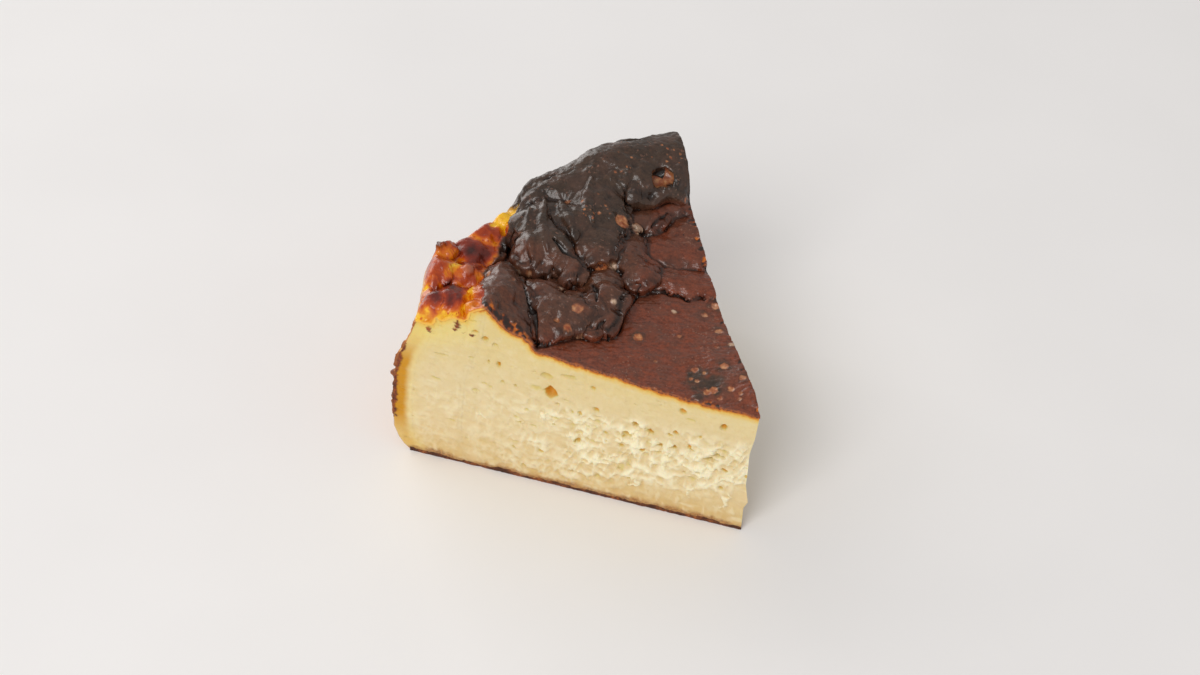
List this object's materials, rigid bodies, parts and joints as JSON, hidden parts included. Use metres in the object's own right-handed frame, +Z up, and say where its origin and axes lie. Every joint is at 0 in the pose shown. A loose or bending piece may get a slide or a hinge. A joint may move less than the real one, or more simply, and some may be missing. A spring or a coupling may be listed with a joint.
{
  "type": "basque cheesecake slice",
  "caption": "Thick wedge cut from a round burnt-top baked cheesecake, with a folded dark crust and two flat pale cut faces.",
  "frame": {"origin": "centre of the bounding box in plan, on the surface the slice stands on", "axes": "+X along the near cut face from the outer rim toward the tip, +Y away from the near cut face, +Z up"},
  "size_m": [0.0876, 0.0722, 0.056],
  "materials": {
    "baked_custard": "soft, moist and semi-matt on the pale cut faces; dark brown, slightly glossy baked skin on top"
  },
  "bodies": {
    "root": {"cheesecake_slice": "baked_custard"}
  },
  "joints": []
}
